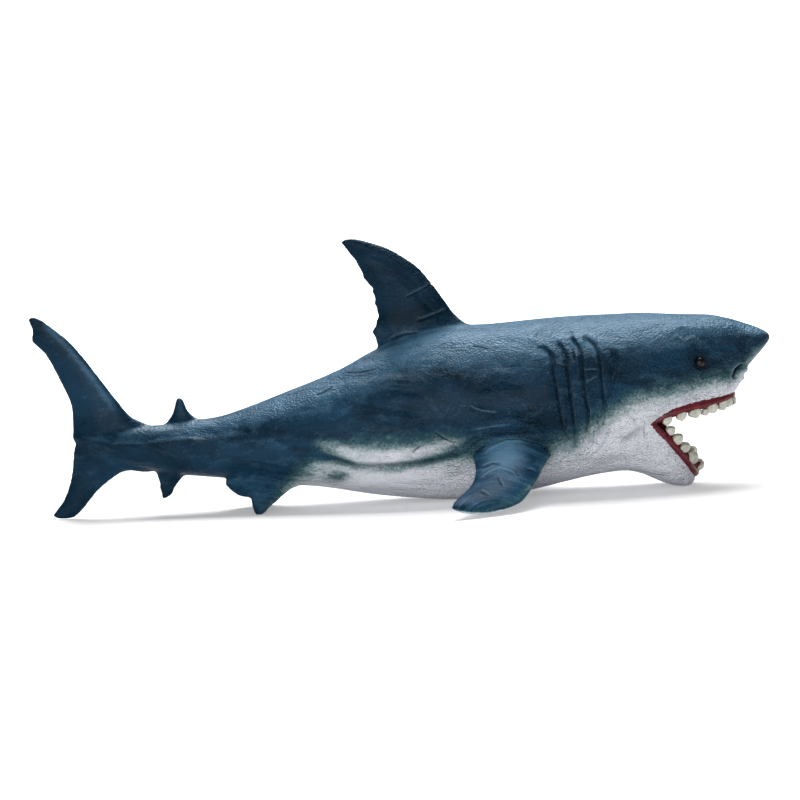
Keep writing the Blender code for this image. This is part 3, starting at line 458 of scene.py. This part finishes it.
# painted shade: darker paint on the dorsal fin, and on the tail stem away from the painted
# highlight
dark = 0.55 * (1 - fade_in(down, *DORSAL_FOOT)) * fade_in(across, *DORSAL_REAR)
dark = dark * (across < DORSAL_FRONT)
dark = np.maximum(dark, 0.40 * (1 - fade_in(across, *STEM_TO_FLANK)) * (1 - painted_highlight))
pebbly = (0.3 * fade_in(across, *GRAIN_BEGINS) + 0.7 * fade_in(across, *GRAIN_GROWS)) * ~on_fin
brush_x = across - BRUSH_CENTRE[0]
brush_y = down - BRUSH_CENTRE[1]
brush_reach = np.where(on_fin, np.hypot(brush_x, brush_y), 0.0)
brush_turn = np.where(on_fin, np.arctan2(brush_y, brush_x), 0.0)
# where there is fine detail the mesh keeps its small faces, and elsewhere it is thinned
detail = np.clip(2.5 * painted_crease_shade + 3 * light + bell(eye_gap, 9.0), 0.0, 1.0) * (red < 1)
detail_group = skin.vertex_groups.new(name="plain")
for step in range(4):
    chosen = np.nonzero((detail >= step * 0.25) & (detail < step * 0.25 + 0.25001))[0]
    detail_group.add([int(index) for index in chosen], 1.0 - step * 0.3, "REPLACE")


def keep_mask(mesh, name, values):
    """Stores a painted area on the mesh, for the paint to read."""
    layer = mesh.attributes.new(name, "FLOAT", "POINT")
    layer.data.foreach_set("value", values.astype(np.float32))


for name, values in (("pale_and_painted_light", pale_and_painted_light), ("red", red), ("painted_crease_shade", painted_crease_shade * flank),
                     ("light", light * flank), ("painted_highlight", painted_highlight), ("pebbly", pebbly), ("dark", dark),
                     ("brush_reach", brush_reach), ("brush_turn", brush_turn)):
    keep_mask(skin.data, name, values)
fewer = skin.modifiers.new("fewer", "DECIMATE")
fewer.ratio = SKIN_TRIANGLES / (2 * len(skin.data.polygons))
fewer.vertex_group = "plain"
fewer.vertex_group_factor = 1.0
bpy.ops.object.modifier_apply(modifier="fewer")
skin.data.shade_smooth()

skin_paint = bpy.data.materials.new("painted_vinyl")
skin_paint.use_nodes = True
nodes = skin_paint.node_tree.nodes
links = skin_paint.node_tree.links
shader = nodes["Principled BSDF"]


def add_node(kind, **settings):
    fresh = nodes.new(kind)
    for key, value in settings.items():
        setattr(fresh, key, value)
    return fresh


def mask_node(name):
    return add_node("ShaderNodeAttribute", attribute_name=name).outputs["Fac"]


def noise_node(scale, detail=4.0, roughness=0.5):
    noise = add_node("ShaderNodeTexNoise")
    noise.inputs["Scale"].default_value = scale
    noise.inputs["Detail"].default_value = detail
    noise.inputs["Roughness"].default_value = roughness
    links.new(object_place.outputs["Object"], noise.inputs["Vector"])
    return noise.outputs["Fac"]


def mixed(factor, first, second, blend="MIX"):
    """A colour between two, each a colour or another node's output."""
    mixer = add_node("ShaderNodeMix", data_type="RGBA", blend_type=blend)
    sockets = {"Factor": mixer.inputs[0], "A": mixer.inputs[6], "B": mixer.inputs[7]}
    for key, value in (("Factor", factor), ("A", first), ("B", second)):
        if isinstance(value, bpy.types.NodeSocket):
            links.new(value, sockets[key])
        else:
            sockets[key].default_value = value
    return mixer.outputs[2]


def remapped(value, low, high, to_low=0.0, to_high=1.0):
    ranger = add_node("ShaderNodeMapRange", clamp=True)
    ranger.inputs["From Min"].default_value = low
    ranger.inputs["From Max"].default_value = high
    ranger.inputs["To Min"].default_value = to_low
    ranger.inputs["To Max"].default_value = to_high
    links.new(value, ranger.inputs["Value"])
    return ranger.outputs["Result"]


def added(first, second, how="ADD"):
    """The sum or another sum-like mix of two values, each a number or an output."""
    adder = add_node("ShaderNodeMath", operation=how)
    for socket, value in zip(adder.inputs, (first, second)):
        if isinstance(value, bpy.types.NodeSocket):
            links.new(value, socket)
        else:
            socket.default_value = value
    return adder.outputs[0]


def bumped(height, distance, strength, below=None):
    bump = add_node("ShaderNodeBump")
    bump.inputs["Strength"].default_value = strength
    bump.inputs["Distance"].default_value = distance
    links.new(height, bump.inputs["Height"])
    if below is not None:
        links.new(below, bump.inputs["Normal"])
    return bump.outputs["Normal"]


object_place = add_node("ShaderNodeTexCoord")
NAVY = (0.0015, 0.015, 0.030, 1.0)
DEEP_BLUE = (0.012, 0.057, 0.116, 1.0)
STEEL_BLUE = (0.075, 0.210, 0.345, 1.0)
GREEN_GREY = (0.040, 0.110, 0.130, 1.0)
PALE_GREEN = (0.27, 0.37, 0.39, 1.0)
OFF_WHITE = (0.88, 0.90, 0.97, 1.0)
SHADOW_BLUE = (0.003, 0.012, 0.020, 1.0)
SKY_BLUE = (0.26, 0.40, 0.50, 1.0)
MAROON = (0.190, 0.018, 0.028, 1.0)
DARK_MAROON = (0.070, 0.006, 0.010, 1.0)
BLUE_SHINE = (0.70, 0.88, 1.0, 1.0)
# how far each grain in the skin stands out, in metres, and how fine the pebbles are
WAVE_RELIEF = 0.0055
STREAK_RELIEF = 0.0014
BRUSH_RELIEF = 0.0010
PEBBLE_RELIEF = 0.00085
PEBBLE_FINENESS = 1500.0


def drawn_out_noise(stretch, scale, detail, roughness):
    """Noise that is longer along the shark than across it."""
    longer = add_node("ShaderNodeMapping")
    longer.inputs["Scale"].default_value = stretch
    links.new(object_place.outputs["Object"], longer.inputs["Vector"])
    noise = add_node("ShaderNodeTexNoise")
    noise.inputs["Scale"].default_value = scale
    noise.inputs["Detail"].default_value = detail
    noise.inputs["Roughness"].default_value = roughness
    noise.inputs["Distortion"].default_value = 0.6
    links.new(longer.outputs["Vector"], noise.inputs["Vector"])
    return noise.outputs["Fac"]


blotches = drawn_out_noise((0.5, 1.0, 1.0), 55.0, 5.0, 0.6)
speckles = noise_node(1100.0, 3.0, 0.7)
streaks = drawn_out_noise((0.6, 1.0, 1.3), 170.0, 6.0, 0.65)
back = mixed(remapped(blotches, 0.35, 0.65), NAVY, DEEP_BLUE)
# the steel blue mixed in where the skin faces up is a painted highlight, speckled and streaked
lit = added(mask_node("painted_highlight"), added(added(streaks, -0.5), 1.3, "MULTIPLY"))
lit = added(lit, added(added(speckles, -0.5), 0.5, "MULTIPLY"))
back = mixed(remapped(lit, 0.05, 1.0, 0.0, 0.9), back, STEEL_BLUE)
spray = added(mask_node("pale_and_painted_light"), added(added(speckles, -0.5), 0.40, "MULTIPLY"))
spray = added(spray, added(added(streaks, -0.5), 0.55, "MULTIPLY"))
spray = added(spray, added(added(blotches, -0.5), 0.40, "MULTIPLY"))
body = mixed(remapped(spray, 0.18, 0.46), back, GREEN_GREY)
body = mixed(remapped(spray, 0.38, 0.64), body, PALE_GREEN)
body = mixed(remapped(spray, 0.56, 0.88), body, OFF_WHITE)
fan_place = add_node("ShaderNodeCombineXYZ")
links.new(added(mask_node("brush_reach"), 0.50, "MULTIPLY"), fan_place.inputs["X"])
links.new(added(mask_node("brush_turn"), 2.0, "MULTIPLY"), fan_place.inputs["Y"])
fan = add_node("ShaderNodeTexNoise")
fan.inputs["Scale"].default_value = 1.0
fan.inputs["Detail"].default_value = 4.0
links.new(fan_place.outputs["Vector"], fan.inputs["Vector"])
on_fins = remapped(mask_node("brush_reach"), 4.0, 8.0)
strokes = added(remapped(fan.outputs["Fac"], 0.50, 0.72, 0.0, 0.45), on_fins, "MULTIPLY")
body = mixed(strokes, body, STEEL_BLUE)
# painted shade on the dorsal fin and the tail stem
body = mixed(mask_node("dark"), body, NAVY)
# painted highlights along the edges of the slits, scars, ridges and nostril
body = mixed(mask_node("light"), body, SKY_BLUE)
# painted shade in the slits, scars, folds, keel crease, nostril and eye socket
body = mixed(mask_node("painted_crease_shade"), body, SHADOW_BLUE)
gum_spots = remapped(noise_node(260.0), 0.35, 0.7)
gum = mixed(gum_spots, MAROON, DARK_MAROON)
links.new(mixed(remapped(mask_node("red"), 0.3, 0.7), body, gum), shader.inputs["Base Color"])
links.new(remapped(streaks, 0.3, 0.7, 0.34, 0.50), shader.inputs["Roughness"])
shine = remapped(lit, 0.0, 1.0, 0.13, 0.60)
shine = added(shine, remapped(on_fins, 0.0, 1.0, 1.0, 0.25), "MULTIPLY")
shine = added(shine, remapped(mask_node("dark"), 0.0, 0.6, 1.0, 0.4), "MULTIPLY")
links.new(shine, shader.inputs["Specular IOR Level"])
shader.inputs["Specular Tint"].default_value = BLUE_SHINE
shader.inputs["Coat Weight"].default_value = 0.07
shader.inputs["Coat Roughness"].default_value = 0.28
pebbles = add_node("ShaderNodeTexVoronoi", feature="SMOOTH_F1")
pebbles.inputs["Scale"].default_value = PEBBLE_FINENESS
links.new(object_place.outputs["Object"], pebbles.inputs["Vector"])
pebble_share = remapped(mask_node("pebbly"), 0.0, 1.0, 0.25, 1.0)
pebble_height = added(pebbles.outputs["Distance"], pebble_share, "MULTIPLY")
rough_share = remapped(mask_node("pebbly"), 0.0, 0.6, 0.25, 1.0)
waves = drawn_out_noise((0.6, 1.0, 1.2), 70.0, 4.0, 0.55)
relief = bumped(added(waves, rough_share, "MULTIPLY"), WAVE_RELIEF, 0.9)
relief = bumped(added(streaks, rough_share, "MULTIPLY"), STREAK_RELIEF, 0.9, relief)
relief = bumped(added(fan.outputs["Fac"], on_fins, "MULTIPLY"), BRUSH_RELIEF, 0.6, relief)
relief = bumped(pebble_height, PEBBLE_RELIEF, 1.0, relief)
links.new(relief, shader.inputs["Normal"])
skin.data.materials.clear()
skin.data.materials.append(skin_paint)
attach(skin, "root")
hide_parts("shark")

# The gums are two smooth rolls moulded round the jaws, one above and one below, painted dark
# red. Each is drawn as a path along one side of the mouth and turned over onto the other.
GUM_RADIUS = 0.0018
GUM_SEAT = Vector((0.0, 0.0011, 0.0))
UPPER_GUM = [(653.5, 422.8), (659, 419), (667, 415), (679, 410.3), (694, 406.6), (708, 403.4),
             (722, 398.8), (731, 395.4)]
LOWER_GUM = [(654.5, 427), (661.5, 435), (669, 442.8), (676.5, 450.6), (684, 459.4), (690, 467),
             (695, 473)]


def place_on_skin(pixel_x, pixel_y):
    """Where the line of sight through a pixel meets the shark, or else passes nearest to it."""
    through = behind_pixel(pixel_x, pixel_y)
    hit = tree.ray_cast(through - looking * 0.3, looking)[0]
    if hit is not None and hit.y < 0:
        return hit
    along = [through + looking * (0.0005 * step) for step in range(-80, 20)]
    return min(along, key=lambda point: tree.find_nearest(point)[3])


def joined(pieces, name):
    """The pieces as one object."""
    bpy.ops.object.select_all(action="DESELECT")
    for piece in pieces:
        piece.select_set(True)
    bpy.context.view_layer.objects.active = pieces[0]
    bpy.ops.object.join()
    pieces[0].name = name
    return pieces[0]


rolls = []
for path in (UPPER_GUM, LOWER_GUM):
    near_points = [place_on_skin(*pixel) + GUM_SEAT for pixel in path]
    far_points = [Vector((point.x, -point.y, point.z)) for point in reversed(near_points)]
    bpy.ops.object.select_all(action="DESELECT")
    bpy.ops.curve.primitive_nurbs_path_add(location=(0.0, 0.0, 0.0))
    roll = bpy.context.active_object
    roll.data.splines.clear()
    run = roll.data.splines.new("NURBS")
    run.points.add(2 * len(path) - 1)
    run.use_endpoint_u = True
    run.order_u = 4
    run.resolution_u = 10
    for index, point in enumerate(near_points + far_points):
        run.points[index].co = (point.x, point.y, point.z, 1.0)
        from_end = min(index, 2 * len(path) - 1 - index)
        run.points[index].radius = min(1.0, 0.55 + 0.2 * from_end)
    roll.data.bevel_depth = GUM_RADIUS
    roll.data.bevel_resolution = 6
    roll.data.use_fill_caps = True
    bpy.ops.object.convert(target="MESH")
    rolls.append(bpy.context.active_object)
gums = joined(rolls, "gums")
bpy.ops.object.shade_smooth()
gum_paint = bpy.data.materials.new("dark_red_gum")
gum_paint.use_nodes = True
nodes = gum_paint.node_tree.nodes
links = gum_paint.node_tree.links
object_place = add_node("ShaderNodeTexCoord")
shader = nodes["Principled BSDF"]
gum_spots = remapped(noise_node(260.0), 0.35, 0.7)
links.new(mixed(gum_spots, MAROON, DARK_MAROON), shader.inputs["Base Color"])
links.new(remapped(noise_node(500.0), 0.3, 0.7, 0.22, 0.40), shader.inputs["Roughness"])
links.new(bumped(noise_node(330.0), 0.0006, 0.7), shader.inputs["Normal"])
shader.inputs["Coat Weight"].default_value = 0.15
shader.inputs["Specular IOR Level"].default_value = 0.3
gums.data.materials.clear()
gums.data.materials.append(gum_paint)
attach(gums, "root")

# The teeth are blunt leaf shapes, moulded with the gums and painted cream by hand.
# Each is modelled once as a rounded blade, then copied along the two jaws.
TOOTH_THICKNESS = 0.0036
UPPER_BITE = Vector((0.275, 0.0, -0.961))
LOWER_BITE = Vector((0.824, 0.0, 0.566))
# where each near tooth stands in the picture, its width and length in metres, and its lean
UPPER_TEETH = [(667.0, 421.2, 0.0041, 0.0034, -0.25), (681.2, 416.4, 0.0043, 0.0036, -0.12),
               (695.0, 413.4, 0.0050, 0.0036, 0.05), (705.6, 412.0, 0.0034, 0.0027, -0.20),
               (712.6, 408.4, 0.0046, 0.0039, 0.10), (722.9, 405.0, 0.0043, 0.0039, -0.10),
               (728.6, 402.2, 0.0040, 0.0038, 0.08)]
LOWER_TEETH = [(670.6, 430.8, 0.0033, 0.0036, 0.10), (678.0, 439.3, 0.0038, 0.0042, -0.05),
               (685.2, 447.8, 0.0035, 0.0040, 0.10), (694.0, 458.8, 0.0040, 0.0042, -0.12),
               (700.2, 466.6, 0.0034, 0.0038, 0.10)]
LOWER_FAR_TEETH = 2
# the pair at the very front of the upper jaw, in metres
FRONT_TOOTH_WIDTH = 0.0040
FRONT_TOOTH_LENGTH = 0.0036
FRONT_TOOTH_FROM_MIDDLE = 0.0022
FRONT_TOOTH_RAISED = 0.0004
FRONT_TOOTH_SUNK = 0.001
CREAM = (0.78, 0.78, 0.68, 1.0)
DULL_CREAM = (0.46, 0.47, 0.38, 1.0)


def model_tooth():
    """One tooth, pointing up, a metre wide and long, to be scaled in place."""
    bpy.ops.object.select_all(action="DESELECT")
    bpy.ops.mesh.primitive_cube_add(size=1.0, location=(0.0, 0.0, 0.0))
    tooth = bpy.context.active_object
    bpy.ops.object.mode_set(mode="EDIT")
    bpy.ops.mesh.select_all(action="SELECT")
    bpy.ops.mesh.subdivide(number_cuts=3)
    bpy.ops.object.mode_set(mode="OBJECT")
    for vertex in tooth.data.vertices:
        height = vertex.co.z + 0.5
        width = 0.58 + 0.44 * math.sin(math.pi * min(1.0, height * 0.85 + 0.10)) ** 0.9
        width *= 1.0 if height < 0.6 else 1.0 - 0.75 * ((height - 0.6) / 0.4) ** 1.5
        vertex.co.x *= width
        vertex.co.y *= 0.55 + 0.45 * width
        vertex.co.z += 0.06 * (1 - abs(2 * vertex.co.x)) * height
        vertex.co.z *= 0.92
    rounder = tooth.modifiers.new("rounder", "SUBSURF")
    rounder.levels = 2
    rounder.render_levels = 2
    bpy.ops.object.modifier_apply(modifier="rounder")
    return tooth


pattern = model_tooth()
seats = []
for bite, row in ((UPPER_BITE, UPPER_TEETH), (LOWER_BITE, LOWER_TEETH)):
    spots = [place_on_skin(entry[0], entry[1]) for entry in row]
    for number, (spot, entry) in enumerate(zip(spots, row)):
        ahead = spots[min(number + 1, len(row) - 1)] - spots[max(number - 1, 0)]
        ahead = (ahead - bite * ahead.dot(bite)).normalized()
        width, length, lean = entry[2:]
        inward = bite.cross(ahead).normalized()
        if inward.y < 0:
            inward = -inward
        axis = (bite + ahead * lean).normalized()
        centre = spot + inward * (0.30 * TOOTH_THICKNESS)
        sides = (ahead * width, inward * TOOTH_THICKNESS, axis * length)
        place_in_jaw = Matrix(sides).transposed()
        seats.append(Matrix.Translation(centre) @ place_in_jaw.to_4x4())
        far = row is UPPER_TEETH or number >= len(row) - LOWER_FAR_TEETH
        if far and abs(centre.y) > 0.002:
            seats.append(Matrix.Scale(-1.0, 4, away) @ seats[-1])
front_height = place_on_skin(*UPPER_TEETH[-1][:2]).z + FRONT_TOOTH_RAISED
for side in (1, -1):
    start = Vector((0.2, side * FRONT_TOOTH_FROM_MIDDLE, front_height))
    spot = tree.ray_cast(start, Vector((-1.0, 0.0, 0.0)))[0]
    sides = (Vector((0.0, FRONT_TOOTH_WIDTH, 0.0)), Vector((-TOOTH_THICKNESS, 0.0, 0.0)),
             UPPER_BITE * FRONT_TOOTH_LENGTH)
    place_in_jaw = Matrix(sides).transposed()
    centre = spot - Vector((FRONT_TOOTH_SUNK, 0.0, 0.0))
    seats.append(Matrix.Translation(centre) @ place_in_jaw.to_4x4())
copies = []
for seat in seats:
    tooth = pattern.copy()
    tooth.data = pattern.data.copy()
    scene.collection.objects.link(tooth)
    tooth.data.transform(seat)
    if seat.determinant() < 0:
        tooth.data.flip_normals()
    copies.append(tooth)
bpy.data.objects.remove(pattern)
teeth = joined(copies, "teeth")
bpy.ops.object.shade_smooth()
cream = bpy.data.materials.new("cream_paint")
cream.use_nodes = True
nodes = cream.node_tree.nodes
links = cream.node_tree.links
object_place = add_node("ShaderNodeTexCoord")
shader = nodes["Principled BSDF"]
tooth_stain = remapped(noise_node(420.0), 0.35, 0.75)
links.new(mixed(tooth_stain, CREAM, DULL_CREAM), shader.inputs["Base Color"])
links.new(remapped(noise_node(700.0), 0.3, 0.7, 0.28, 0.42), shader.inputs["Roughness"])
links.new(bumped(noise_node(500.0), 0.0003, 0.5), shader.inputs["Normal"])
shader.inputs["Coat Weight"].default_value = 0.3
teeth.data.materials.clear()
teeth.data.materials.append(cream)
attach(teeth, "root")

# The eyes are small domes moulded with the head, one on each side. They are painted gloss
# black, with a rim of red-brown left along the lower edge.
EYE_RADIUS = 0.0021
EYE_SUNK = 0.0007
RIM_BELOW = 0.0015
RIM_ENDS_BELOW = 0.0005
GLOSS_BLACK = (0.004, 0.004, 0.005, 1.0)
RED_BROWN = (0.035, 0.008, 0.007, 1.0)
domes = []
spot = place_on_skin(*EYE_PIXEL)
for side in (1, -1):
    bpy.ops.object.select_all(action="DESELECT")
    centre = (spot.x, side * (spot.y + EYE_SUNK), spot.z)
    bpy.ops.mesh.primitive_uv_sphere_add(segments=40, ring_count=24, radius=EYE_RADIUS,
                                         location=centre)
    domes.append(bpy.context.active_object)
eyes = joined(domes, "eyes")
bpy.ops.object.transform_apply(location=True, rotation=True, scale=True)
bpy.ops.object.shade_smooth()
eye_paint = bpy.data.materials.new("gloss_black")
eye_paint.use_nodes = True
nodes = eye_paint.node_tree.nodes
links = eye_paint.node_tree.links
object_place = add_node("ShaderNodeTexCoord")
shader = nodes["Principled BSDF"]
height = add_node("ShaderNodeSeparateXYZ")
links.new(object_place.outputs["Object"], height.inputs["Vector"])
rim = remapped(height.outputs["Z"], spot.z - RIM_BELOW, spot.z - RIM_ENDS_BELOW, 1.0, 0.0)
rim = added(rim, remapped(noise_node(1500.0), 0.3, 0.6), "MULTIPLY")
links.new(mixed(rim, GLOSS_BLACK, RED_BROWN), shader.inputs["Base Color"])
shader.inputs["Roughness"].default_value = 0.10
shader.inputs["Specular IOR Level"].default_value = 0.35
eyes.data.materials.clear()
eyes.data.materials.append(eye_paint)
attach(eyes, "root")

# The floor is a wide plain white sheet under the shark, and keeps its soft shadow.
# Further away the camera sees it brighten to the white of the room.
FLOOR_SIZE = 8.0
FLOOR_BELOW = 0.0002
FLOOR_WHITE = (0.86, 0.86, 0.87, 1.0)
PURE_WHITE = (1.0, 1.0, 1.0, 1.0)
BRIGHTENS_FROM, BRIGHT_AT = 0.12, 0.50
GLOW_NEAR_SHARK = 0.30
bpy.ops.object.select_all(action="DESELECT")
bpy.ops.mesh.primitive_plane_add(size=FLOOR_SIZE, location=(0.0, 0.0, -FLOOR_BELOW))
floor = bpy.context.active_object
floor.name = "floor"
floor_white = bpy.data.materials.new("floor_white")
floor_white.use_nodes = True
nodes = floor_white.node_tree.nodes
links = floor_white.node_tree.links
object_place = add_node("ShaderNodeTexCoord")
shader = nodes["Principled BSDF"]
shader.inputs["Base Color"].default_value = FLOOR_WHITE
shader.inputs["Roughness"].default_value = 0.9
shader.inputs["Specular IOR Level"].default_value = 0.0
white = add_node("ShaderNodeEmission")
white.inputs["Color"].default_value = PURE_WHITE
distance = add_node("ShaderNodeVectorMath", operation="LENGTH")
links.new(object_place.outputs["Object"], distance.inputs[0])
glow = remapped(distance.outputs["Value"], BRIGHTENS_FROM, BRIGHT_AT, GLOW_NEAR_SHARK, 1.0)
camera_only = add_node("ShaderNodeLightPath")
glow = added(glow, camera_only.outputs["Is Camera Ray"], "MULTIPLY")
links.new(glow, white.inputs["Strength"])
both = add_node("ShaderNodeAddShader")
links.new(shader.outputs["BSDF"], both.inputs[0])
links.new(white.outputs["Emission"], both.inputs[1])
links.new(both.outputs["Shader"], nodes["Material Output"].inputs["Surface"])
floor.data.materials.append(floor_white)

# The light comes from two plain soft boxes. The stronger one hangs overhead, a little behind
# the shark, and the weaker one stands low in front. Each: its place, width and watts.
SOFT_BOXES = [("top_box", (0.05, 0.45, 1.00), 0.75, 16.0),
              ("front_box", (-0.2, -1.50, 0.18), 0.9, 12.0)]
AIMED_AT = Vector((0.0, 0.0, 0.03))
for name, spot, size, power in SOFT_BOXES:
    lamp_data = bpy.data.lights.new(name, "AREA")
    lamp_data.shape = "SQUARE"
    lamp_data.size = size
    lamp_data.energy = power
    lamp = bpy.data.objects.new(name, lamp_data)
    scene.collection.objects.link(lamp)
    lamp.location = spot
    lamp.rotation_euler = (AIMED_AT - Vector(spot)).to_track_quat("-Z", "Y").to_euler()

# The room round the shark is plain and pale, and adds a little even light from all sides.
# The camera sees it as pure white, so that the floor has no far edge.
ROOM_LIGHT = 0.14
studio = bpy.data.worlds.new("studio")
scene.world = studio
studio.use_nodes = True
world_nodes = studio.node_tree.nodes
world_links = studio.node_tree.links
backdrop = world_nodes["Background"]
backdrop.inputs["Color"].default_value = PURE_WHITE
backdrop.inputs["Strength"].default_value = ROOM_LIGHT
seen_white = world_nodes.new("ShaderNodeBackground")
seen_white.inputs["Color"].default_value = PURE_WHITE
light_path = world_nodes.new("ShaderNodeLightPath")
chooser = world_nodes.new("ShaderNodeMixShader")
world_links.new(light_path.outputs["Is Camera Ray"], chooser.inputs["Fac"])
world_links.new(backdrop.outputs["Background"], chooser.inputs[1])
world_links.new(seen_white.outputs["Background"], chooser.inputs[2])
world_links.new(chooser.outputs["Shader"], world_nodes["World Output"].inputs["Surface"])
scene.view_settings.view_transform = "Standard"
